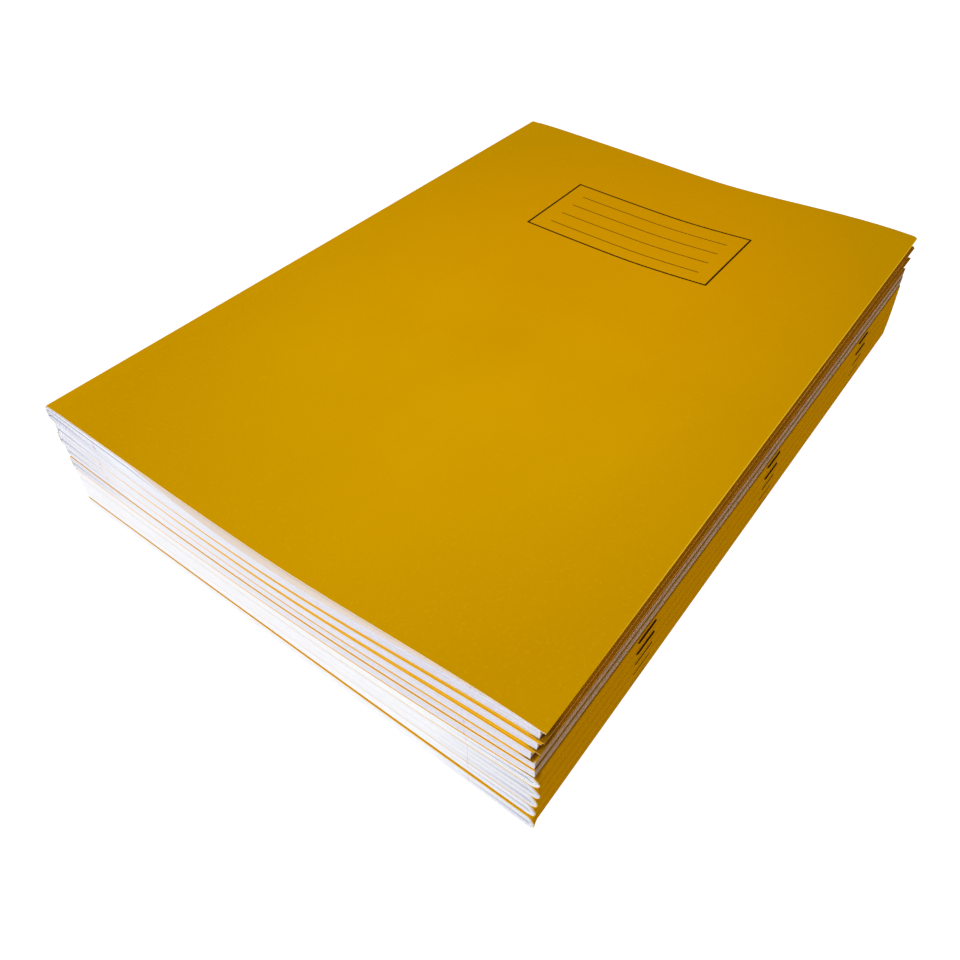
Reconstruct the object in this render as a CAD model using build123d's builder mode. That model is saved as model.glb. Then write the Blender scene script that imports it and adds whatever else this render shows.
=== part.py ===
import os
from math import cos, radians, sin

from build123d import *

os.makedirs("parts", exist_ok=True)

# One book: a folded card cover round nested folded sheets, stapled through the fold
page_width = 210.0
page_length = 297.0
cover_thickness = 0.25
sheet_thickness = 0.09
sheet_count = 20
page_inset = 0.5  # leaves stop this far inside the cover at the fore-edge

# How thick one closed book stands in the pile: the lower ones are pressed flatter by those on top
lower_spine_thickness = 6.1
lower_middle_thickness = 3.97
lower_fore_edge_thickness = 3.87
upper_spine_thickness = 6.25
upper_middle_thickness = 4.75
upper_fore_edge_thickness = 5.0
nose_depth = 2.8  # rounded back of the fold, from its creases out to the spine

# The top cover stands off its pages between spine and fore-edge, less at the tail than at the head
tail_spring = 4.8
head_spring = 6.6
spring_steps = 4  # points along the sprung panel

# Clearances
book_gap = 0.2
cover_fit = 0.08
leaf_clearance = 0.08
crease_gap = 0.1
clinch_room = 0.15
flat_sag = 0.0001  # a run that sags less than this is drawn straight

# Wire staples
wire_size = 0.6
crown_length = 10.8
clinch_gap = 2.5
staple_pitch = 94.4
staple_count = 3
staple_shift = 5.3  # the row of staples sits this far towards the tail

# The pile, from the bottom up: how far each book lies off the pile's line, across and along
pile_offsets = [
    (-0.3, -0.45),
    (-1.0, 0.1),
    (-0.9, 0.1),
    (-0.8, 0.0),
    (-1.3, 0.05),
    (-1.6, -0.15),
    (-1.7, 0.1),
    (-2.2, -0.35),
    (-0.8, -0.2),
    (-0.75, 0.0),
]
# and by how many degrees it is turned; the top book lies square
pile_turns = [-0.34, -0.34, -0.34, -0.34, -0.34, -0.34, -0.34, -0.34, -0.18, 0.0]
turned_count = 5  # the lower books lie turned round, with the spine at +X

# Nested sheets are modelled as gatherings, more of them in the top book, which opens
closed_gatherings = 2
top_gatherings = 5

top_book = len(pile_offsets)
fold_depth = sheet_count * sheet_thickness
paper_skin = cover_thickness + cover_fit


def spine_side(book):
    return 1 if book <= turned_count else -1


def staple_offset(book):
    # The tail of a turned book is at +Y
    return spine_side(book) * staple_shift


def outline_points(book):
    # Corners of the book and the ends of its row of crowns, seen from above
    x, y = pile_offsets[book - 1]
    side = spine_side(book)
    row = staple_pitch * (staple_count - 1) / 2 + crown_length / 2
    spots = [(x + i * page_width / 2, y + j * page_length / 2) for i in (-1, 1) for j in (-1, 1)]
    crown_x = x + side * (page_width / 2 + wire_size)
    spots += [(crown_x, y + staple_offset(book) + j * row) for j in (-1, 1)]
    turn = radians(pile_turns[book - 1])
    return [(u * cos(turn) - v * sin(turn), u * sin(turn) + v * cos(turn)) for u, v in spots]


# The origin is under the middle of the pile's box
outline = [spot for book in range(1, top_book + 1) for spot in outline_points(book)]
pile_x = -(min(x for x, y in outline) + max(x for x, y in outline)) / 2
pile_y = -(min(y for x, y in outline) + max(y for x, y in outline)) / 2


def center_x(book):
    return pile_x + pile_offsets[book - 1][0]


def center_y(book):
    return pile_y + pile_offsets[book - 1][1]


def book_plane(book):
    return Plane.XY.rotated((0, 0, pile_turns[book - 1]))


def head_plane(book):
    # Profiles are drawn across the head of a book and run down its length to the tail
    flat = book_plane(book)
    head = flat.from_local_coords((0, center_y(book) + page_length / 2, 0))
    return Plane(origin=head, x_dir=flat.x_dir, z_dir=-flat.y_dir)


def book_thickness(book, x):
    # Spines stand highest, the middle sags
    if spine_side(book) > 0:
        left, middle, right = lower_fore_edge_thickness, lower_middle_thickness, lower_spine_thickness
    else:
        left, middle, right = upper_spine_thickness, upper_middle_thickness, upper_fore_edge_thickness
    across = x / (page_width / 2)
    return middle + (right - left) / 2 * across + ((right + left) / 2 - middle) * across**2


def pile_height(count, x):
    # Height of the pile over this many books
    return sum(book_thickness(book, x) for book in range(1, count + 1))


def layer_heights(book, x, room, skin, share):
    # Upper and lower height of a layer: skin is measured in from the outside of the book,
    # share is the part of the way from there to the centrefold, which stays open by room
    top = pile_height(book, x) - book_gap
    bottom = pile_height(book - 1, x)
    middle = (top + bottom) / 2
    upper = (top - skin) * (1 - share) + (middle + room) * share
    lower = (bottom + skin) * (1 - share) + (middle - room) * share
    return upper, lower


def fold_line(book, skin, share, inset=0.0, steps=2):
    # Points round the fold: upper run from the fore-edge to the crease, nose, lower run back
    side = spine_side(book)
    spine_x = center_x(book) + side * page_width / 2
    crease_x = spine_x - side * nose_depth
    fore_x = center_x(book) - side * (page_width / 2 - inset)
    upper, lower = [], []
    for step in range(steps + 1):
        x = fore_x + (crease_x - fore_x) * step / steps
        room = wire_size / 2 + clinch_room if step == steps else leaf_clearance / 2
        heights = layer_heights(book, x, room, skin, share)
        upper.append((x, heights[0]))
        lower.insert(0, (x, heights[1]))
    nose = (spine_x - side * (skin + share * fold_depth), (upper[-1][1] + lower[0][1]) / 2)
    return upper, nose, lower


def cover_lines(book, steps=2):
    return [fold_line(book, skin, 0.0, steps=steps) for skin in (0.0, cover_thickness)]


def gathering_lines(book, index, count):
    # The clearance between gatherings is kept where the book is thinnest
    thinnest = min(book_thickness(book, x) for x, z in fold_line(book, 0.0, 0.0)[0])
    paper_room = (thinnest - book_gap - leaf_clearance) / 2 - paper_skin
    slip = leaf_clearance / paper_room
    start = index / count
    end = (index + 1) / count - slip
    outer = fold_line(book, paper_skin, start, page_inset)
    inner = fold_line(book, paper_skin, end, page_inset)
    return outer, inner


def draw_bend(points):
    # A sagging run is an arc, a sprung one a smooth curve, and one that lies flat on the table is straight
    (start_x, start_z), (end_x, end_z) = points[0], points[-1]
    slope = (end_z - start_z) / (end_x - start_x)
    if all(abs(start_z + slope * (x - start_x) - z) < flat_sag for x, z in points):
        Line(points[0], points[-1])
    elif len(points) == 3:
        ThreePointArc(*points)
    else:
        Spline(*points)


def draw_fold(outer, inner):
    # Closed outline of a folded layer, both leaves and the nose between them
    for upper, nose, lower in (outer, inner):
        draw_bend(upper)
        ThreePointArc(upper[-1], nose, lower[0])
        draw_bend(lower)
    Line(outer[0][0], inner[0][0])
    Line(outer[2][-1], inner[2][-1])


def draw_back_half(outer, inner):
    # The lower leaves with the nose of the fold, cut off at the upper crease
    for upper, nose, lower in (outer, inner):
        ThreePointArc(upper[-1], nose, lower[0])
        draw_bend(lower)
    Line(outer[0][-1], inner[0][-1])
    Line(outer[2][-1], inner[2][-1])


def draw_front_half(outer, inner):
    # The upper leaves alone, starting just clear of the crease they turn on
    step = crease_gap * (1 if outer[0][-1][0] < outer[0][0][0] else -1)
    for upper, nose, lower in (outer, inner):
        crease = (upper[-1][0] + step, upper[-1][1])
        draw_bend(upper[:-1] + [crease])
    Line(outer[0][0], inner[0][0])
    Line((outer[0][-1][0] + step, outer[0][-1][1]), (inner[0][-1][0] + step, inner[0][-1][1]))


def finish(piece, name):
    piece.part.label = name
    export_step(piece.part, f"parts/{name}.step")


def make_staples(book):
    # Flat-bent wire: crown on the spine, legs through the fold, ends clinched in the centrefold
    side = spine_side(book)
    spine_x = center_x(book) + side * page_width / 2
    crease = layer_heights(book, spine_x - side * nose_depth, 0.0, 0.0, 0.0)
    pierced = paper_skin + fold_depth
    staple_x = spine_x - side * pierced / 2
    clinch_x = spine_x - side * (pierced + wire_size / 2)
    wire_plane = book_plane(book).offset((crease[0] + crease[1] - wire_size) / 2)
    row_y = center_y(book) + staple_offset(book)
    with BuildPart() as staples:
        with BuildSketch(wire_plane):
            with GridLocations(0, staple_pitch, 1, staple_count):
                with Locations((staple_x, row_y)):
                    Rectangle(pierced + 2 * wire_size, crown_length)
                    Rectangle(pierced, crown_length - 2 * wire_size, mode=Mode.SUBTRACT)
                with Locations((clinch_x, row_y)):
                    Rectangle(2 * wire_size, clinch_gap, mode=Mode.SUBTRACT)
        extrude(amount=wire_size)
    finish(staples, f"book_{book:02d}_staples")


def make_cover(book):
    outer, inner = cover_lines(book)
    with BuildPart() as cover:
        with BuildSketch(head_plane(book)):
            with BuildLine():
                draw_fold(outer, inner)
            make_face()
        extrude(amount=page_length)
    finish(cover, f"book_{book:02d}_cover")


def make_sheets(book):
    with BuildPart() as sheets:
        for index in range(closed_gatherings):
            outer, inner = gathering_lines(book, index, closed_gatherings)
            with BuildSketch(head_plane(book)):
                with BuildLine():
                    draw_fold(outer, inner)
                make_face()
            extrude(amount=page_length)
    finish(sheets, f"book_{book:02d}_sheets")


def make_back_cover(book):
    outer, inner = cover_lines(book)
    with BuildPart() as back_cover:
        with BuildSketch(head_plane(book)):
            with BuildLine():
                draw_back_half(outer, inner)
            make_face()
        extrude(amount=page_length)
    finish(back_cover, f"book_{book:02d}_back_cover")


def sprung_lines(book, spring):
    # The card springs flatter than the pages under it, and rests on them at both edges
    lines = cover_lines(book, spring_steps)
    for upper, nose, lower in lines:
        for step in range(1, spring_steps):
            x, z = upper[step]
            upper[step] = (x, z + spring * (1 - (2 * step / spring_steps - 1) ** 4))
    return lines


def make_front_cover(book):
    head = head_plane(book)
    with BuildPart() as front_cover:
        for plane, spring in ((head, head_spring), (head.offset(page_length), tail_spring)):
            outer, inner = sprung_lines(book, spring)
            with BuildSketch(plane):
                with BuildLine():
                    draw_front_half(outer, inner)
                make_face()
        loft()
    finish(front_cover, f"book_{book:02d}_front_cover")


def make_front_leaves(book, index):
    outer, inner = gathering_lines(book, index, top_gatherings)
    with BuildPart() as front_leaves:
        with BuildSketch(head_plane(book)):
            with BuildLine():
                draw_front_half(outer, inner)
            make_face()
        extrude(amount=page_length)
    finish(front_leaves, f"book_{book:02d}_front_leaves_{index + 1}")


def make_back_leaves(book, index):
    outer, inner = gathering_lines(book, index, top_gatherings)
    with BuildPart() as back_leaves:
        with BuildSketch(head_plane(book)):
            with BuildLine():
                draw_back_half(outer, inner)
            make_face()
        extrude(amount=page_length)
    finish(back_leaves, f"book_{book:02d}_back_leaves_{index + 1}")


# Closed books of the pile
for book in range(1, top_book):
    make_cover(book)
    make_sheets(book)
    make_staples(book)

# The top book, which opens at its spine
make_back_cover(top_book)
make_front_cover(top_book)
make_staples(top_book)
for index in range(top_gatherings):
    make_front_leaves(top_book, index)
    make_back_leaves(top_book, index)

# Where the opening leaves turn: the upper crease of the top book
crease_upper = fold_line(top_book, 0.0, 0.0)[0][-1]
print(f"upper crease of the top book: x {crease_upper[0]:.3f}, z {crease_upper[1]:.3f}")
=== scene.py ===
import math
import random

import bmesh
import bpy
import numpy as np
from mathutils import Matrix, Vector


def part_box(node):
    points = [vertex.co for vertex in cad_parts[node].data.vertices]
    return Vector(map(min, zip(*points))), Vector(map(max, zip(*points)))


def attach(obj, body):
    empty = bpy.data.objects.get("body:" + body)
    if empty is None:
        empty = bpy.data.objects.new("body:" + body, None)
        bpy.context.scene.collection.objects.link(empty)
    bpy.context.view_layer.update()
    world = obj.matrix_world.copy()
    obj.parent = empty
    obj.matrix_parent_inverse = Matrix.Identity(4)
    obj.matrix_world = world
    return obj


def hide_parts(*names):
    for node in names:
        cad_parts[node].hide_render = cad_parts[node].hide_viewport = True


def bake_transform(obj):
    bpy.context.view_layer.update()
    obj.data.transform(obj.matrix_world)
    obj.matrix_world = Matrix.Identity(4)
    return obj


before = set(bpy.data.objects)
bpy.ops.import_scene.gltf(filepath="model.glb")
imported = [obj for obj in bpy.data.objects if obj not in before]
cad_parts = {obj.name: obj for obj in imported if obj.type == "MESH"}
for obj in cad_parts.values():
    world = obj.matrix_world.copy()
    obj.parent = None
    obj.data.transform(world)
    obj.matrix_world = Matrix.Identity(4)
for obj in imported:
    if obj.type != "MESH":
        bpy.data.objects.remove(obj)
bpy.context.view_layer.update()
dice = random.Random(11)
print("frame loaded:", len(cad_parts), "nodes")


# The pile, in metres; a book's thickness is given at the left, the middle and the right of the pile
pile = {
    "books": 10,
    "width": 0.210,
    "length": 0.297,
    "lower": (0.00387, 0.00397, 0.0061),
    "upper": (0.00625, 0.00468),
    "upperFore": [0.0043, 0.0043, 0.0055, 0.0055, 0.0054],  # at the right, book by book
    "swell": 0.0005,  # the upper books' loose leaves stand up between middle and fore-edge
    "noseDepth": 0.0028,  # rounded back of the fold
    "upperSquare": 0.42,  # 1 is a half ellipse, less is squarer
    "lowerSquare": 0.08,  # these backs are pressed flat and flush
    "wallTop": 0.14,  # but their stack is rounder at its top
    "wallFoot": 0.85,  # and at its foot
    # how far their stack stands out, at the table and at the top of each lower book
    "wall": [0.0, 0.0, -0.00001, -0.00010, -0.00028, -0.00046],
    "topNose": 0.0020,  # the uppermost fold is pressed least and stands out this much more
    "pinchSquare": 0.95,  # the guillotine pinched the near end of the lower folds
    "pinchLength": 0.0030,
    "pinchPower": 1.5,  # sharper towards the very end
    "pinchDroop": 0.0006,
    "burrs": [0.0003, 0.0006, 0.0010, 0.0018, 0.0018, 0, 0, 0, 0, 0],  # and dragged their tips out
    "burrWidth": 4,  # powers: the higher, the narrower
    "burrTip": 16,
    "burrLift": 0.7,
    "bookGap": 0.00004,
    "turnDegrees": [-0.34] * 8 + [-0.18, 0.0],  # from the bottom up
}

card = {
    "thickness": 0.00025,
    "fit": 0.00008,
    "runSteps": 44,
    "runPower": 1.8,  # steps lie closer near the spine
    "noseSteps": 20,
    "alongSteps": 36,
    "nearSteps": [0.0006, 0.0014, 0.0026],
    "farSteps": [0.0001, 0.0004, 0.0009, 0.0016, 0.0024],
    "tailSpring": 0.0050,  # the top cover stands this far off its pages
    "headSpring": 0.0070,
    "springSkew": 0.8,  # below 1, the highest place lies nearer the spine
    "leafFollow": 0.91,  # the leaves rise with it near the spine
    "leafHold": (0.19, 0.26),  # where they start to stay behind, and over what share of the width
    "leafSlit": 0.0004,  # and part below the outermost
    "tailRise": 0.0009,  # its fold also gapes at the tail
    "overhang": 0.0003,  # it reaches a little past the others
    "corner": 0.0030,  # worn round at the far fore-edge corner
    # the pages' near ends stand out of it by this much, from the bottom book up
    "nearEnd": [0.0003, 0.0005, 0.0005, 0.0005, 0.0004, 0.0001, 0.0002, 0, 0, 0],
    "wave": 0.00006,
    "ripples": [(9, 31, 0.0), (5, -47, 1.3)],  # across, along, start
}

paper = {
    "sheets": 20,
    "thickness": 0.00009,
    "slack": 0.05,  # share of each sheet's room that stays air
    # outermost leaf inside the cover's fore-edge, from the bottom book up
    "inset": [0.0005, 0.0005, 0.0005, 0.0005, 0.0005, 0.0001, 0.0003, 0.0012, 0.0016, 0.0018],
    # how the leaves' ends slant against the cover's, metres per metre
    "skew": [0.0005, 0.0020, 0.0024, 0.0024, 0.0022, 0.0010, 0.0008, 0.0022, 0.0034, 0.0034],
    "creep": 0.0002,  # inner leaves push out by this much
    "creepPower": 0.7,
    "endInset": 0.00015,
    "jitter": 0.00009,
    "runSteps": 22,
    "runPower": 1.8,
    "topRunSteps": 40,  # the top book's leaves bend
    "noseSteps": 10,
    "alongSteps": 3,
    "nearSteps": [0.0008, 0.0024],
    "farSteps": [],
    "clinchRoom": 0.00028,  # the centrefold stays open by this much at the crease
    "gapReach": 0.045,  # and closes over this length
    "gapPower": 1.3,
    "leafRoom": 0.00003,
    "foldShadeReach": 0.034,  # how far from the spine painted shade in the open centrefold reaches
    "slitAt": 6,  # the top book's leaves also part under this many sheets
    "slitShadeReach": 0.072,
    "shadedSheets": 2,  # beside either opening
}


def readBook(number):
    name = f"book_{number:02d}"
    shell = f"{name}_cover" if f"{name}_cover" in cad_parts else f"{name}_back_cover"
    low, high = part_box(shell)
    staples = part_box(f"{name}_staples")
    return {
        "number": number,
        "name": name,
        "side": 1 if staples[1].x > 0 else -1,  # where the spine is
        "x": (low.x + high.x) / 2,
        "y": (low.y + high.y) / 2,
        "turn": math.radians(pile["turnDegrees"][number - 1]),
    }


books = [readBook(number) for number in range(1, pile["books"] + 1)]
topBook = books[-1]
turnedCount = sum(1 for book in books if book["side"] > 0)
wallX = sum(book["x"] for book in books[:turnedCount]) / turnedCount
foldDepth = paper["sheets"] * paper["thickness"]
paperSkin = card["thickness"] + card["fit"]


def bookThickness(number, x):
    upper = number > turnedCount
    if upper:
        left, middle = pile["upper"]
        right = pile["upperFore"][number - turnedCount - 1]
    else:
        left, middle, right = pile["lower"]
    across = x / (pile["width"] / 2)
    thick = middle + (right - left) / 2 * across + ((right + left) / 2 - middle) * across**2
    if upper:
        rise = np.clip(across, 0, 1)
        thick = thick + pile["swell"] * 27 / 4 * rise**2 * (1 - rise)  # 27/4 brings the hump's top to 1
    return thick


def pileHeight(count, x):
    return sum((bookThickness(number, x) for number in range(1, count + 1)), 0 * x)


# How far a lower book's back stands from its own place to lie flush in the stack,
# and how far it leans to either side of that
def wallShift(book):
    if book["side"] < 0:
        return 0.0, 0.0
    foot, top = pile["wall"][book["number"] - 1:book["number"] + 1]
    return wallX + (foot + top) / 2 - book["x"], (top - foot) / 2


def layerHeights(book, x, room, skin, share):
    top = pileHeight(book["number"], x) - pile["bookGap"]
    bottom = pileHeight(book["number"] - 1, x)
    middle = (top + bottom) / 2
    upper = (top - skin) * (1 - share) + (middle + room) * share
    lower = (bottom + skin) * (1 - share) + (middle - room) * share
    return upper, lower


def placeOf(book, across, along):
    c, s = math.cos(book["turn"]), math.sin(book["turn"])
    return book["x"] + across * c - along * s, book["y"] + across * s + along * c


# One folded layer at one place along the book: points from the upper fore-edge round the nose to the lower
# one, each with its distance from the spine and whether it belongs to the front panel
def foldRow(book, along, skin, share, inset, steps, skew=0.0, sprung=False):
    side = book["side"]
    half = pile["width"] / 2
    crease = side * (half - pile["noseDepth"])
    fromNear = along + pile["length"] / 2
    if sprung:
        short = max(card["corner"] - (pile["length"] - fromNear), 0)
        inset = inset + card["corner"] - math.sqrt(card["corner"] ** 2 - short**2)
    fore = -side * (half - inset)
    pinch = max(1 - fromNear / pile["pinchLength"], 0) ** pile["pinchPower"] if side > 0 else 0
    tip = side * (half - skin - share * foldDepth + (pile["topNose"] if book is topBook else 0))
    shift, lean = wallShift(book)
    tip = tip + shift * (1 - pinch)
    ease = np.linspace(1, 0, steps["runSteps"] + 1) ** steps["runPower"]
    run = crease + (fore - crease) * ease
    x, y = placeOf(book, run, along + skew * run)
    closing = np.clip(1 - ease * (pile["width"] / paper["gapReach"]), 0, 1) ** paper["gapPower"]
    room = paper["leafRoom"] + (paper["clinchRoom"] - paper["leafRoom"]) * closing
    upper, lower = layerHeights(book, book["x"] + run, room, skin, share)
    if book is topBook:
        headShare = fromNear / pile["length"]
        spring = card["tailSpring"] + (card["headSpring"] - card["tailSpring"]) * headShare
        arch = spring * np.sin(math.pi * ease ** card["springSkew"])
        arch = arch + card["tailRise"] * (1 - headShare) ** 2 * (1 - ease)
        hold, fade = card["leafHold"]
        riding = np.clip(1 - (ease - hold) / fade, 0, 1) ** 2
        follow = card["leafFollow"] * (1 - share) * riding
        slit = card["leafSlit"] * riding * (1 - share) if share * paper["sheets"] > paper["slitAt"] else 0
        upper = upper + (arch if skin < paperSkin else arch * follow - slit)
    if sprung:
        ripple = sum(np.sin(ease * i + along * j + start) for i, j, start in card["ripples"])
        upper = upper + card["wave"] * ripple * 4 * ease * (1 - ease)
    turn = np.linspace(math.pi / 2, -math.pi / 2, steps["noseSteps"] + 1)[1:-1]
    square = np.full(len(turn), pile["lowerSquare"] if side > 0 else pile["upperSquare"])
    if book["number"] == turnedCount:
        square[turn > 0] = pile["wallTop"]
    if book["number"] == 1:
        square[turn < 0] = pile["wallFoot"]
    square = square + (pile["pinchSquare"] - square) * pinch
    burr = pile["burrs"][book["number"] - 1] * pinch
    bulge = np.sign(np.sin(turn)) * np.abs(np.sin(turn)) ** square
    noseAcross = crease + (tip + lean * bulge * (1 - pinch) - crease) * np.cos(turn) ** square
    noseAcross = noseAcross + side * burr * np.cos(turn) ** pile["burrWidth"]
    noseX, noseY = placeOf(book, noseAcross, along + skew * noseAcross)
    noseZ = (upper[-1] + lower[-1]) / 2 + (upper[-1] - lower[-1]) / 2 * bulge
    lift = pile["burrLift"] * burr * np.cos(turn) ** pile["burrTip"]
    noseZ = noseZ - pile["pinchDroop"] * pinch * np.cos(turn) ** 2 + lift
    points = np.concatenate([
        np.stack([x, y, upper], 1),
        np.stack([noseX, noseY, noseZ], 1),
        np.stack([x, y, lower], 1)[::-1],
    ])
    fromSpine = np.concatenate([half - side * run, half - side * noseAcross, (half - side * run)[::-1]])
    front = np.concatenate([np.ones(len(run)), np.sin(turn), -np.ones(len(run))])
    return points, fromSpine, front


# Which stretch of the row a piece has: the whole fold, or the front or back half from the nose's tip
def stretch(part, steps):
    tip = steps["runSteps"] + steps["noseSteps"] // 2
    last = 2 * steps["runSteps"] + steps["noseSteps"]
    return {"whole": slice(0, last + 1), "front": slice(0, tip + 1), "back": slice(tip, last + 1)}[part]


# A thin closed solid between an outer and an inner row, laid along the book
def addLayer(store, book, depths, inset, ends, steps, part, skew=0.0, sprung=False, gapShade=0.0):
    keep = stretch(part, steps)
    tailward = -1 if book["side"] < 0 else 1  # a turned book has its tail at +Y
    base = len(store["points"])
    low, high = -pile["length"] / 2 + ends[0], pile["length"] / 2 - ends[1]
    stations = np.linspace(low, high, steps["alongSteps"] + 1).tolist()
    stations += [low + step for step in steps["nearSteps"]] + [high - step for step in steps["farSteps"]]
    stations.sort()
    for along in stations:
        fromTail = pile["length"] / 2 - tailward * along
        for layer, (skin, share) in enumerate(depths):
            points, fromSpine, front = foldRow(book, along, skin, share, inset, steps, skew, sprung)
            points, fromSpine, front = points[keep], fromSpine[keep], front[keep]
            facing = front if layer == 0 else -front
            store["points"].extend(points.tolist())
            store["places"].extend(zip(fromSpine, [fromTail] * len(points), facing))
            store["outside"].extend([1.0 - layer] * len(points))
            store["gapShade"].extend([gapShade] * len(points))
    count = len(points)
    rows = len(stations)

    def at(row, layer, i):
        return base + (row * 2 + layer) * count + i

    for row in range(rows - 1):
        for i in range(count - 1):
            for layer in (0, 1):
                face = [at(row, layer, i), at(row, layer, i + 1),
                        at(row + 1, layer, i + 1), at(row + 1, layer, i)]
                store["faces"].append(face if layer else face[::-1])
                store["cut"].append(0)
        for i in (0, count - 1):
            face = [at(row, 0, i), at(row, 1, i), at(row + 1, 1, i), at(row + 1, 0, i)]
            store["faces"].append(face if i else face[::-1])
            store["cut"].append(2)
    for row in (0, rows - 1):
        for i in range(count - 1):
            face = [at(row, 0, i), at(row, 0, i + 1), at(row, 1, i + 1), at(row, 1, i)]
            store["faces"].append(face if row == 0 else face[::-1])
            store["cut"].append(1)


def newStore():
    return {"points": [], "faces": [], "cut": [], "places": [], "outside": [], "gapShade": []}


sharpDegrees = 40  # edges that turn by more stay crisp


def makePiece(name, store, materials):
    mesh = bpy.data.meshes.new(name)
    mesh.from_pydata(store["points"], [], store["faces"])
    places = mesh.attributes.new("place", "FLOAT_VECTOR", "POINT")
    places.data.foreach_set("vector", np.array(store["places"], np.float32).ravel())
    for mark in ("outside", "gapShade"):
        marks = mesh.attributes.new(mark, "FLOAT", "POINT")
        marks.data.foreach_set("value", np.array(store[mark], np.float32))
    for material in materials:
        mesh.materials.append(material)
    mesh.polygons.foreach_set("material_index", np.array(store["cut"], np.int32))
    mesh.polygons.foreach_set("use_smooth", np.ones(len(mesh.polygons), bool))
    shape = bmesh.new()
    shape.from_mesh(mesh)
    bmesh.ops.recalc_face_normals(shape, faces=shape.faces)
    shape.to_mesh(mesh)
    shape.free()
    mesh.set_sharp_from_angle(angle=math.radians(sharpDegrees))
    piece = bpy.data.objects.new(name, mesh)
    bpy.context.scene.collection.objects.link(piece)
    return piece


# Shader maths as plain sums: a Shade is one output in a node tree
class Shade:
    def __init__(self, tree, out=None):
        self.tree = tree
        self.out = out

    def node(self, kind, settings=None, sockets=None, out=0):
        made = self.tree.nodes.new(kind)
        for name, value in (settings or {}).items():
            setattr(made, name, value)
        for name, value in (sockets or {}).items():
            if isinstance(value, Shade):
                self.tree.links.new(value.out, made.inputs[name])
            else:
                made.inputs[name].default_value = value
        return Shade(self.tree, made.outputs[out])

    def math(self, operation, first, second=0.0, clamp=False):
        settings = {"operation": operation, "use_clamp": clamp}
        return self.node("ShaderNodeMath", settings, {0: first, 1: second})

    def __add__(self, other):
        return self.math("ADD", self, other)

    __radd__ = __add__

    def __sub__(self, other):
        return self.math("SUBTRACT", self, other)

    def __rsub__(self, other):
        return self.math("SUBTRACT", other, self)

    def __mul__(self, other):
        return self.math("MULTIPLY", self, other)

    __rmul__ = __mul__

    def __truediv__(self, other):
        return self.math("DIVIDE", self, other)

    def __rtruediv__(self, other):
        return self.math("DIVIDE", other, self)

    def __mod__(self, other):
        return self.math("FLOORED_MODULO", self, other)

    def __abs__(self):
        return self.math("ABSOLUTE", self)

    def clamp(self):
        return self.math("ADD", self, 0.0, clamp=True)

    def most(self, other):
        return self.math("MAXIMUM", self, other)

    def mix(self, color, other):
        return self.node("ShaderNodeMix", {"data_type": "RGBA"}, {0: self, 6: color, 7: other}, out=2)

    # soft-edged stripe round a middle value
    def band(self, middle, half, soft):
        return ((half - abs(self - middle)) / soft + 0.5).clamp()

    # rises from 0 to 1 past an edge
    def past(self, edge, soft):
        return ((self - edge) / soft + 0.5).clamp()


def newMaterial(name):
    material = bpy.data.materials.new(name)
    material.use_nodes = True
    tree = material.node_tree
    surface = tree.nodes["Principled BSDF"]
    return material, Shade(tree), surface


def wireUp(shade, surface, **sockets):
    for name, value in sockets.items():
        socket = surface.inputs[name.replace("_", " ")]
        if isinstance(value, Shade):
            shade.tree.links.new(value.out, socket)
        else:
            socket.default_value = value


def noiseAt(shade, where, scale, detail, rough):
    return shade.node("ShaderNodeTexNoise", None,
                      {"Vector": where, "Scale": scale, "Detail": detail, "Roughness": rough})


def placeParts(shade):
    where = shade.node("ShaderNodeAttribute", {"attribute_name": "place"}, out=1)
    parts = where.node("ShaderNodeSeparateXYZ", None, {0: where})
    outs = parts.out.node.outputs
    return [Shade(shade.tree, outs[i]) for i in range(3)]


print("tools ready")

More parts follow.
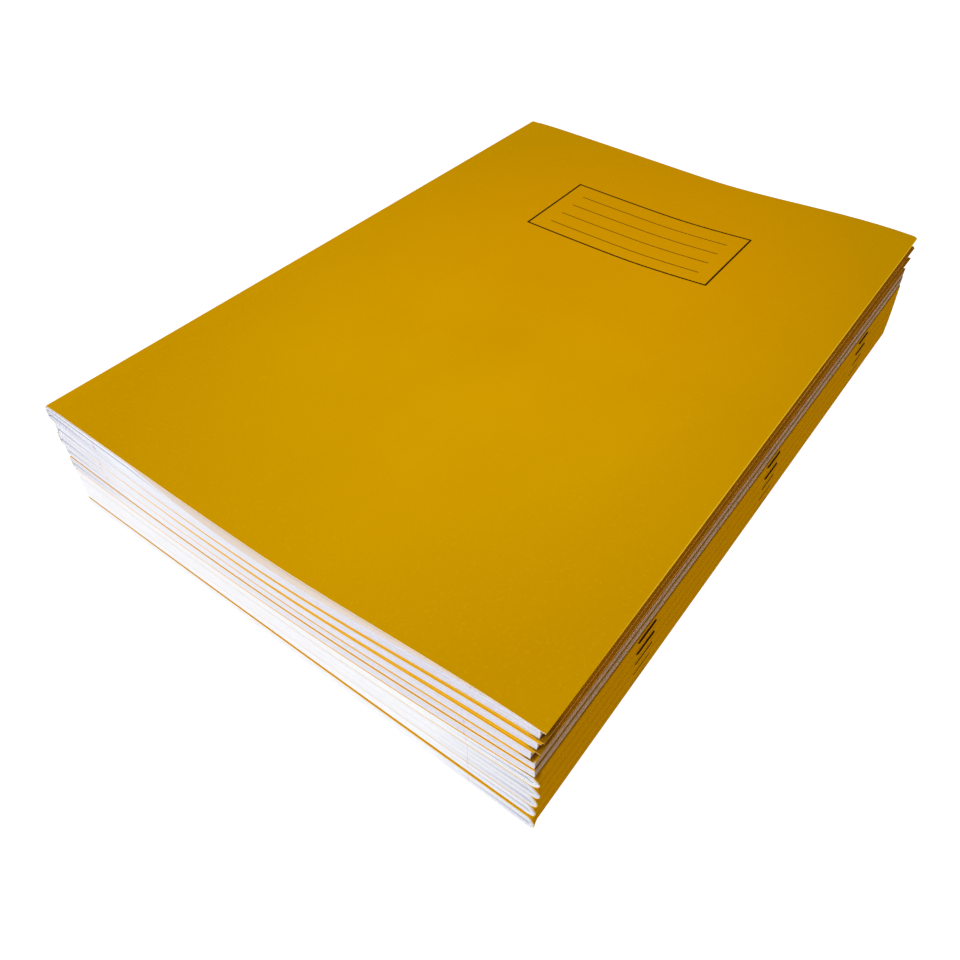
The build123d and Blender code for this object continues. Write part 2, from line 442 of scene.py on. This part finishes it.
coverLook = {
    "color": (0.81, 0.425, 0.0002, 1),
    "deep": (0.76, 0.390, 0.0001, 1),
    "far": (0.80, 0.348, 0.0001, 1),  # painted light tint: a little redder towards the head
    "falloffShade": (0.66, 0.335, 0.0001, 1),  # painted shade: darker round the edges, where the light falls off
    "wall": (0.580, 0.257, 0.0002, 1),  # and painted shade along the lower books' backs, on the pile's shaded side
    "inside": (0.84, 0.450, 0.0020, 1),
    "insideForeShade": (0.70, 0.370, 0.0020, 1),  # painted shade along the fore-edge, under the cover above
    "cornerShade": (0.26, 0.120, 0.0020, 1),  # painted shade inside the lower fore-edge corner, under the covers above
    "rimHighlight": (0.92, 0.56, 0.028, 1),  # painted highlight along the top cover's fore-edge
    "rimSoft": 0.0002,
    "rimFrom": (0.045, 0.05),  # less so near the tail
    "fleck": (0.84, 0.46, 0.001, 1),
    "roughness": 0.78,
    "roughVary": 0.10,
    "cutRoughness": 0.85,
    "ink": (0.028, 0.012, 0.004, 1),
    "lineInk": (0.17, 0.075, 0.006, 1),
    "label": {"middle": (0.1042, 0.2300), "size": (0.0916, 0.0457), "border": 0.0009},
    "lines": {
        "fromSpine": (0.0665, 0.1425),
        "first": 0.2154,
        "pitch": 0.00913,
        "count": 4,
        "width": 0.00055,
        "endSoft": 0.0002,
    },
    "inkSoft": 0.00015,
    "inkWear": (0.36, 0.2, 0.15),  # fibre from which ink holds, softness, and how much wears off
    "topEndCut": ((0.93, 0.86, 0.68, 1), (0.90, 0.78, 0.50, 1)),  # painted highlight: paler than the other cut edges
    "endCut": ((0.93, 0.62, 0.16, 1), (0.90, 0.54, 0.08, 1)),  # the card's cut edges, dyed through
    # painted highlight: the top cover's fore-edge cut brighter than the others
    "topForeCut": ((1.0, 0.64, 0.02, 1), (0.97, 0.58, 0.005, 1)),
    "foreCut": ((0.86, 0.50, 0.15, 1), (0.78, 0.42, 0.10, 1)),
    "lowForeCut": ((0.36, 0.18, 0.05, 1), (0.28, 0.13, 0.03, 1)),  # darker low in the pile
    # scale, detail and roughness of each noise
    "cloud": (26.0, 4.0, 0.55),
    "fibre": (900.0, 3.0, 0.7),
    "grain": (3200.0, 2.0, 0.6),
    "cutFibre": (1500.0, 3.0, 0.7),
    # where each of these starts, and how softly
    "farFrom": (0.19, 0.22),
    "falloffShadeFrom": (0.8, 1.3),
    "wallTo": (0.0012, 0.001),
    "fleckFrom": (0.62, 0.12),
    "insideForeShadeFrom": (0.005, 0.004),  # in from the fore-edge
    "cornerShadeFrom": (0.0035, 0.003),
    "cornerShadeTo": (0.006, 0.010),  # up from the tail
    "fleckShare": 0.35,
    "fibreRelief": 0.6,
    "grainRelief": 0.4,
    "bump": (0.10, 0.00004),  # strength and distance
    "darkForeUpper": 2,  # upper books whose fore-edges are as dark as the lower ones'
}


def makeCoverCard(name, inWall):
    material, shade, surface = newMaterial(name)
    where = shade.node("ShaderNodeTexCoord", out=3)
    fromSpine, fromTail, facing = placeParts(shade)
    cloud = noiseAt(shade, where, *coverLook["cloud"])
    fibre = noiseAt(shade, where, *coverLook["fibre"])
    grain = noiseAt(shade, where, *coverLook["grain"])
    color = cloud.past(0.5, 0.5).mix(coverLook["deep"], coverLook["color"])
    # painted light: the cover turns redder towards the head
    color = fromTail.past(*coverLook["farFrom"]).mix(color, coverLook["far"])
    # painted shade: the cover darker towards its edges
    middleX, middleY = pile["width"] / 2, pile["length"] / 2
    outX = (fromSpine - middleX) / middleX
    outY = (fromTail - middleY) / middleY
    color = (outX * outX + outY * outY).past(*coverLook["falloffShadeFrom"]).mix(color, coverLook["falloffShade"])
    # painted highlight along the top cover's fore-edge
    rimHighlight = fromSpine.past(pile["width"], coverLook["rimSoft"]) * fromTail.past(*coverLook["rimFrom"])
    color = rimHighlight.mix(color, coverLook["rimHighlight"])
    # painted shade along the lower books' backs
    if inWall:
        color = (1 - fromSpine.past(*coverLook["wallTo"])).mix(color, coverLook["wall"])
    color = (fibre.past(*coverLook["fleckFrom"]) * coverLook["fleckShare"]).mix(color, coverLook["fleck"])
    outside = shade.node("ShaderNodeAttribute", {"attribute_name": "outside"}, out=2)
    # painted shade in the fore-edge corner at the tail, on the inside of the cover
    toFore = pile["width"] - fromSpine
    corner = (1 - toFore.past(*coverLook["cornerShadeFrom"])) * (1 - fromTail.past(*coverLook["cornerShadeTo"]))
    # painted shade on the inside strip along the fore-edge
    foreShade = 1 - toFore.past(*coverLook["insideForeShadeFrom"])
    inside = corner.mix(foreShade.mix(coverLook["inside"], coverLook["insideForeShade"]), coverLook["cornerShade"])
    color = outside.past(0.5, 0.2).mix(inside, color)

    # the printed name box, on the outside of the front panel only
    label, lines = coverLook["label"], coverLook["lines"]
    printed = facing.past(0.97, 0.02)
    dx = abs(fromSpine - label["middle"][0])
    dy = abs(fromTail - label["middle"][1])
    away = (dx - label["size"][0] / 2).most(dy - label["size"][1] / 2)
    border = away.band(-label["border"] / 2, label["border"] / 2, coverLook["inkSoft"]) * printed
    first, last = lines["fromSpine"]
    inLine = fromSpine.band((first + last) / 2, (last - first) / 2, lines["endSoft"])
    rules = shade.math("MULTIPLY", inLine, 0.0)
    for index in range(lines["count"]):
        height = lines["first"] + index * lines["pitch"]
        rule = fromTail.band(height, lines["width"] / 2, coverLook["inkSoft"])
        rules = rules.most(rule * inLine)
    holds, soft, wear = coverLook["inkWear"]
    inkGrain = fibre.past(holds, soft) * wear + (1 - wear)
    color = (rules * printed * inkGrain).mix(color, coverLook["lineInk"])
    color = (border * inkGrain).mix(color, coverLook["ink"])

    vary = coverLook["roughVary"]
    rough = coverLook["roughness"] + (cloud - 0.5) * vary + (fibre - 0.5) * vary
    relief = fibre * coverLook["fibreRelief"] + grain * coverLook["grainRelief"]
    strength, distance = coverLook["bump"]
    bump = shade.node("ShaderNodeBump", None, {"Strength": strength, "Distance": distance, "Height": relief})
    wireUp(shade, surface, Base_Color=color, Roughness=rough, Normal=bump)
    surface.inputs["Specular IOR Level"].default_value = 0.0
    return material


def makeCardEdge(name, light, dark):
    material, shade, surface = newMaterial(name)
    where = shade.node("ShaderNodeTexCoord", out=3)
    fibre = noiseAt(shade, where, *coverLook["cutFibre"])
    color = fibre.past(0.5, 0.5).mix(light, dark)
    wireUp(shade, surface, Base_Color=color, Roughness=coverLook["cutRoughness"])
    surface.inputs["Specular IOR Level"].default_value = 0.0
    return material


pageLook = {
    "white": (0.84, 0.82, 0.83, 1),
    "shade": (0.79, 0.77, 0.78, 1),
    "gutterShade": (0.36, 0.37, 0.50, 1),  # painted shade, grey where the leaves run into the fold
    "gapShade": (0.34, 0.35, 0.48, 1),
    # painted shade: the upper books' page ends are a darker, lilac copy of the lower books' white
    "lowerEdge": ((0.915, 0.950, 1.0, 1), (0.885, 0.920, 1.0, 1)),
    "upperEdge": ((0.675, 0.68, 0.81, 1), (0.60, 0.605, 0.75, 1)),
    "foreEdgeShade": ((0.72, 0.42, 0.20, 1), (0.60, 0.32, 0.135, 1)),  # painted shade and painted yellow bounce light on the upper books' fore-edges
    "feint": (0.42, 0.55, 0.74, 1),
    "tick": (0.10, 0.11, 0.16, 1),  # where a line ends on a cut edge
    "margin": (0.80, 0.30, 0.36, 1),
    "marginEnd": (0.50, 0.16, 0.34, 1),
    "pitch": 0.008,
    "firstLine": 0.020,  # up from the tail
    "lastLine": 0.277,
    "lineWidth": 0.00025,
    "lineSoft": 0.00012,
    "endSoft": 0.0002,
    "feintInk": 0.75,
    "marginIn": 0.024,
    "marginInk": 0.8,
    "roughness": 0.78,
    "specular": 0.2,
    "cutRoughness": 0.9,
    "fibre": (1100.0, 3.0, 0.65),  # scale, detail and roughness of each noise
    "cutFibre": (1300.0, 3.0, 0.7),
    "blotch": (420.0, 2.0, 0.55),
    "gutterTo": (0.012, 0.060),
    "gutterShare": 0.7,
    "paleTo": (0.09, 0.16),
    "tickFrom": (0.48, 0.2),  # blotches in which a line's end shows
    "tickInk": 0.75,
    "dotFrom": (0.58, 0.12),  # and the margin's
    "dotSize": (0.0003, 0.0004),
    "lowerDots": 0.05,  # how strong these are on the lower and the upper books' ends
    "upperDots": 0.9,
    "gapShadeFade": 0.03,
    "gapShadeShare": 0.9,
    "bump": (0.12, 0.00003),
}


# ruled lines cross the leaf, so they also end as ticks on the cut fore-edge
def ruling(fromTail):
    half = pageLook["pitch"] / 2
    phase = (fromTail - pageLook["firstLine"] + half) % pageLook["pitch"]
    line = phase.band(half, pageLook["lineWidth"] / 2, pageLook["lineSoft"])
    begun = fromTail.past(pageLook["firstLine"] - half, pageLook["endSoft"])
    ended = fromTail.past(pageLook["lastLine"] + half, pageLook["endSoft"])
    return line * begun * (1 - ended)


def makePageFace():
    material, shade, surface = newMaterial("ruledPage")
    where = shade.node("ShaderNodeTexCoord", out=3)
    fromSpine, fromTail, facing = placeParts(shade)
    fibre = noiseAt(shade, where, *pageLook["fibre"])
    color = fibre.past(0.5, 0.6).mix(pageLook["shade"], pageLook["white"])
    # painted shade near the fold
    gutterShade = (1 - fromSpine.past(*pageLook["gutterTo"])) * pageLook["gutterShare"]
    color = gutterShade.mix(color, pageLook["gutterShade"])
    color = (ruling(fromTail) * pageLook["feintInk"]).mix(color, pageLook["feint"])
    recto = facing.past(0.0, 0.1)
    stroke = pageLook["lineWidth"] / 2, pageLook["lineSoft"]
    margin = fromSpine.band(pageLook["marginIn"], *stroke) * recto
    margin = margin + fromSpine.band(pile["width"] - pageLook["marginIn"], *stroke) * (1 - recto)
    color = (margin * pageLook["marginInk"]).mix(color, pageLook["margin"])
    strength, distance = pageLook["bump"]
    bump = shade.node("ShaderNodeBump", None, {"Strength": strength, "Distance": distance, "Height": fibre})
    wireUp(shade, surface, Base_Color=color, Roughness=pageLook["roughness"], Normal=bump)
    surface.inputs["Specular IOR Level"].default_value = pageLook["specular"]
    return material


def makePageEdge(name, light, dark, paleSpine, marginInk):
    material, shade, surface = newMaterial(name)
    where = shade.node("ShaderNodeTexCoord", out=3)
    fromSpine, fromTail = placeParts(shade)[:2]
    fibre = noiseAt(shade, where, *pageLook["cutFibre"])
    color = fibre.past(0.5, 0.6).mix(dark, light)
    # painted light: the upper page ends paler towards the spine
    if paleSpine:
        color = fromSpine.past(*pageLook["paleTo"]).mix(pageLook["lowerEdge"][1], color)
    blotch = noiseAt(shade, where, *pageLook["blotch"])
    tick = ruling(fromTail) * blotch.past(*pageLook["tickFrom"])
    color = (tick * pageLook["tickInk"]).mix(color, pageLook["tick"])
    margin = fromSpine.band(pageLook["marginIn"], *pageLook["dotSize"])
    margin = margin + fromSpine.band(pile["width"] - pageLook["marginIn"], *pageLook["dotSize"])
    color = (margin * blotch.past(*pageLook["dotFrom"]) * marginInk).mix(color, pageLook["marginEnd"])
    # painted shade on the leaves' cut edges beside the open centrefold and the top book's parted leaves
    reach = shade.node("ShaderNodeAttribute", {"attribute_name": "gapShade"}, out=2)
    gapShadeMask = ((reach - fromSpine) / pageLook["gapShadeFade"]).clamp()
    color = (gapShadeMask * pageLook["gapShadeShare"]).mix(color, pageLook["gapShade"])
    wireUp(shade, surface, Base_Color=color, Roughness=pageLook["cutRoughness"])
    surface.inputs["Specular IOR Level"].default_value = 0.0
    return material


stapleLook = {
    "color": (0.125, 0.036, 0.003, 1),
    "dull": (0.065, 0.018, 0.001, 1),
    "metal": 0.3,
    "streak": (2600.0, 3.0, 0.6),
    "roughness": (0.40, 0.2),  # least, and how much the streaks add
}


def makeStapleWire():
    material, shade, surface = newMaterial("stapleWire")
    where = shade.node("ShaderNodeTexCoord", out=3)
    streak = noiseAt(shade, where, *stapleLook["streak"])
    color = streak.past(0.5, 0.5).mix(stapleLook["dull"], stapleLook["color"])
    least, more = stapleLook["roughness"]
    wireUp(shade, surface, Base_Color=color, Roughness=streak * more + least)
    surface.inputs["Metallic"].default_value = stapleLook["metal"]
    surface.inputs["Specular IOR Level"].default_value = 0.0
    return material


lowerCard = makeCoverCard("lowerCoverCard", True)
upperCard = makeCoverCard("upperCoverCard", False)
topCardEnd = makeCardEdge("topCardEndCut", *coverLook["topEndCut"])
cardEnd = makeCardEdge("cardEndCut", *coverLook["endCut"])
topCardFore = makeCardEdge("topCardForeCut", *coverLook["topForeCut"])
cardFore = makeCardEdge("cardForeCut", *coverLook["foreCut"])
lowFore = makeCardEdge("lowCardForeCut", *coverLook["lowForeCut"])
pageFace = makePageFace()
lowerPageEdge = makePageEdge("lowerPageEdge", *pageLook["lowerEdge"], False, pageLook["lowerDots"])
upperPageEnd = makePageEdge("upperPageEnd", *pageLook["upperEdge"], True, pageLook["upperDots"])
# painted shade and bounce light on the upper books' fore-edges
upperForeEdge = makePageEdge("upperForeEdge", *pageLook["foreEdgeShade"], False, 0.0)
pageFinish = {1: [pageFace, lowerPageEdge, lowerPageEdge], -1: [pageFace, upperPageEnd, upperForeEdge]}


def coverFinish(book):
    face = lowerCard if book["side"] > 0 else upperCard
    fore = lowFore if book["number"] <= turnedCount + coverLook["darkForeUpper"] else cardFore
    return [face, cardEnd, fore]


stapleWire = makeStapleWire()
print("finishes ready")


def coverDepths():
    return (0.0, 0.0), (card["thickness"], 0.0)


def sheetDepths(index):
    start = (index + paper["slack"] / 2) / paper["sheets"]
    end = (index + 1 - paper["slack"] / 2) / paper["sheets"]
    return (paperSkin, start), (paperSkin, end)


def sheetInset(book, index):
    share = (index + 0.5) / paper["sheets"]
    creep = paper["creep"] * share ** paper["creepPower"]
    return paper["inset"][book["number"] - 1] - creep + dice.uniform(-1, 1) * paper["jitter"]


def sheetEnds():
    return [paper["endInset"] + dice.uniform(-1, 1) * paper["jitter"] for end in (0, 1)]


def addSheets(store, book, first, last, part):
    skew = paper["skew"][book["number"] - 1]
    steps = dict(paper, runSteps=paper["topRunSteps"]) if book is topBook else paper
    for index in range(first, last):
        # painted shade on the sheets beside either opening
        gapShade = paper["foldShadeReach"] if index >= paper["sheets"] - paper["shadedSheets"] else 0.0
        if book is topBook and paper["slitAt"] <= index < paper["slitAt"] + paper["shadedSheets"]:
            gapShade = paper["slitShadeReach"]
        inset = sheetInset(book, index)
        addLayer(store, book, sheetDepths(index), inset, sheetEnds(), steps, part, skew, gapShade=gapShade)


wire = {
    "size": 0.00056,
    "crown": 0.0114,
    "pitch": 0.0944,
    "shift": 0.0063,  # the row sits this far towards the tail
    "rise": 0.0010,  # and above the middle of the lower backs
    "perBook": 3,
    "proud": [-0.4, -0.25, -0.1, 0.35, 0.4, 0.2, 0.2, 0.2, 0.2, 0.2],  # crown off the spine, in wires
    "clinch": 0.0046,
    "clinchIn": 0.4,  # past the innermost fold, in wires
    "bend": 0.0005,
    "bendSteps": 4,
    "sides": 10,
}


# A staple's line: end clinched in the centrefold, leg out through the fold, crown, leg in, other end
def stapleLine(book, along):
    side = book["side"]
    half = pile["width"] / 2 + (pile["topNose"] if book is topBook else 0)
    outer = side * (half + wire["size"] * wire["proud"][book["number"] - 1]) + wallShift(book)[0]
    inner = side * (half - paperSkin - foldDepth - wire["size"] * wire["clinchIn"])
    reach = wire["crown"] / 2 - wire["size"] / 2
    route = [(inner, -reach + wire["clinch"]), (inner, -reach), (outer, -reach),
             (outer, reach), (inner, reach), (inner, reach - wire["clinch"])]
    line = [Vector(route[0])]
    for before, corner, after in zip(map(Vector, route), map(Vector, route[1:]), map(Vector, route[2:])):
        start = corner + (before - corner).normalized() * wire["bend"]
        end = corner + (after - corner).normalized() * wire["bend"]
        for i in range(wire["bendSteps"] + 1):
            f = i / wire["bendSteps"]
            line.append(start * (1 - f) ** 2 + corner * 2 * f * (1 - f) + end * f**2)
    line.append(Vector(route[-1]))
    crease = side * (pile["width"] / 2 - pile["noseDepth"])
    upper, lower = layerHeights(book, book["x"] + crease, 0.0, 0.0, 0.0)
    level = (upper + lower) / 2 + (wire["rise"] if side > 0 else 0)
    return [(*placeOf(book, p.x, along + p.y), level) for p in line]


def makeStaples(book):
    curve = bpy.data.curves.new(f"wire_{book['number']:02d}", "CURVE")
    curve.dimensions = "3D"
    curve.bevel_depth = wire["size"] / 2
    curve.bevel_resolution = wire["sides"] // 4
    curve.use_fill_caps = True
    for index in range(wire["perBook"]):
        along = (index - (wire["perBook"] - 1) / 2) * wire["pitch"] + book["side"] * wire["shift"]
        line = stapleLine(book, along)
        spline = curve.splines.new("POLY")
        spline.points.add(len(line) - 1)
        for point, spot in zip(spline.points, line):
            point.co = (*spot, 1)
    bent = bpy.data.objects.new("bentWire", curve)
    bpy.context.scene.collection.objects.link(bent)
    bpy.context.view_layer.update()
    mesh = bpy.data.meshes.new_from_object(bent.evaluated_get(bpy.context.evaluated_depsgraph_get()))
    bpy.data.objects.remove(bent)
    mesh.name = f"staples_{book['number']:02d}"
    mesh.materials.clear()
    mesh.materials.append(stapleWire)
    mesh.polygons.foreach_set("use_smooth", np.ones(len(mesh.polygons), bool))
    piece = bpy.data.objects.new(mesh.name, mesh)
    bpy.context.scene.collection.objects.link(piece)
    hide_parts(f"{book['name']}_staples")
    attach(piece, book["name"])


for book in books[:-1]:
    store = newStore()
    addLayer(store, book, coverDepths(), 0.0, (card["nearEnd"][book["number"] - 1], 0), card, "whole")
    cover = makePiece(f"cover_{book['number']:02d}", store, coverFinish(book))
    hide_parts(f"{book['name']}_cover")
    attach(cover, book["name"])
    store = newStore()
    addSheets(store, book, 0, paper["sheets"], "whole")
    sheets = makePiece(f"sheets_{book['number']:02d}", store, pageFinish[book["side"]])
    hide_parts(f"{book['name']}_sheets")
    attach(sheets, book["name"])
    makeStaples(book)
print("closed books ready")


opening = {
    "reach": 0.008,  # how far past the crease a turning leaf's bend would end
    "groups": 5,  # gatherings on each side of the centrefold
}


# The top book: the crease it opens at is worked out, and its front half is baked in place unbent
def bendOpen(piece):
    spine = topBook["x"] + topBook["side"] * pile["width"] / 2
    crease = spine - topBook["side"] * pile["noseDepth"]
    start = Vector((spine - topBook["side"] * (paperSkin + foldDepth), 0, 0))
    end = Vector((crease - topBook["side"] * opening["reach"], 0, 0))
    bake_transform(piece)


store = newStore()
addLayer(store, topBook, coverDepths(), 0.0, (0, 0), card, "back")
backCover = makePiece("backCover", store, coverFinish(topBook))
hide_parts(f"{topBook['name']}_back_cover")
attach(backCover, topBook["name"])

store = newStore()
addLayer(store, topBook, coverDepths(), -card["overhang"], (0, 0), card, "front", sprung=True)
frontCover = makePiece("frontCover", store, [upperCard, topCardEnd, topCardFore])
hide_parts(f"{topBook['name']}_front_cover")
bendOpen(frontCover)

perGroup = paper["sheets"] // opening["groups"]
for group in range(opening["groups"]):
    for part in ("front", "back"):
        store = newStore()
        addSheets(store, topBook, group * perGroup, (group + 1) * perGroup, part)
        leaves = makePiece(f"{part}Leaves_{group + 1}", store, pageFinish[topBook["side"]])
        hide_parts(f"{topBook['name']}_{part}_leaves_{group + 1}")
        if part == "front":
            bendOpen(leaves)
        else:
            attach(leaves, topBook["name"])
makeStaples(topBook)
print("top book ready")


# The photograph's view, measured from the table under the middle of the pile's line
view = {
    "from": (0.15905, -0.24556, 0.2631),
    "lineFromTopBook": 0.00075,
    "azimuth": 34.21,
    "down": 42.82,
    "roll": 2.04,
    "focal": 33.62,
    "sensor": 36,
    "shift": (-0.0405, -0.0588),
}


def makeCamera():
    az, down, roll = (math.radians(view[k]) for k in ("azimuth", "down", "roll"))
    forward = Vector((-math.sin(az) * math.cos(down), math.cos(az) * math.cos(down), -math.sin(down)))
    level = Vector((math.cos(az), math.sin(az), 0))
    upright = level.cross(forward)
    right = level * math.cos(roll) + upright * math.sin(roll)
    up = right.cross(forward)
    lens = bpy.data.cameras.new("photoView")
    lens.lens = view["focal"]
    lens.sensor_width = view["sensor"]
    lens.shift_x, lens.shift_y = view["shift"]
    camera = bpy.data.objects.new("photoView", lens)
    bpy.context.scene.collection.objects.link(camera)
    middle = Vector((topBook["x"] + view["lineFromTopBook"], topBook["y"], 0))
    camera.matrix_world = Matrix.Translation(middle + Vector(view["from"])) @ Matrix(
        (right, up, -forward)).transposed().to_4x4()
    bpy.context.scene.camera = camera


studio = {
    "floor": (0.08, 0.08, 0.08, 1),
    "floorGlow": 1.12,
    "floorReach": 3.0,
    "floorRoughness": 0.9,
    "sky": (1.0, 1.0, 1.0, 1),
    "skyStrength": 0.14,  # as light
    "skySeen": 1.0,  # behind the object
    "lights": [
        # name, place, aim, size, watts
        ("window", (-0.75, -1.55, 2.45), (0.0, 0.0, 0.03), 1.4, 73.0),
    ],
}


def makeStudio():
    mesh = bpy.data.meshes.new("tableTop")
    reach = studio["floorReach"]
    corners = [(-reach, -reach, 0), (reach, -reach, 0), (reach, reach, 0), (-reach, reach, 0)]
    mesh.from_pydata(corners, [], [(0, 1, 2, 3)])
    table = bpy.data.objects.new("tableTop", mesh)
    bpy.context.scene.collection.objects.link(table)
    material, _, surface = newMaterial("paleTable")
    surface.inputs["Base Color"].default_value = studio["floor"]
    surface.inputs["Roughness"].default_value = studio["floorRoughness"]
    surface.inputs["Emission Color"].default_value = (1, 1, 1, 1)
    surface.inputs["Emission Strength"].default_value = studio["floorGlow"]
    mesh.materials.append(material)
    world = bpy.data.worlds.new("studio")
    world.use_nodes = True
    backdrop = world.node_tree.nodes["Background"]
    seen = Shade(world.node_tree).node("ShaderNodeLightPath")
    glow = seen * (studio["skySeen"] - studio["skyStrength"]) + studio["skyStrength"]
    backdrop.inputs["Color"].default_value = studio["sky"]
    world.node_tree.links.new(glow.out, backdrop.inputs["Strength"])
    bpy.context.scene.world = world
    bpy.context.scene.view_settings.view_transform = "Standard"
    for name, place, aim, size, watts in studio["lights"]:
        lamp = bpy.data.lights.new(name, "AREA")
        lamp.energy = watts
        lamp.size = size
        holder = bpy.data.objects.new(name, lamp)
        bpy.context.scene.collection.objects.link(holder)
        holder.location = place
        holder.rotation_euler = (Vector(aim) - Vector(place)).to_track_quat("-Z", "Y").to_euler()


makeCamera()
makeStudio()
print("view and light ready")
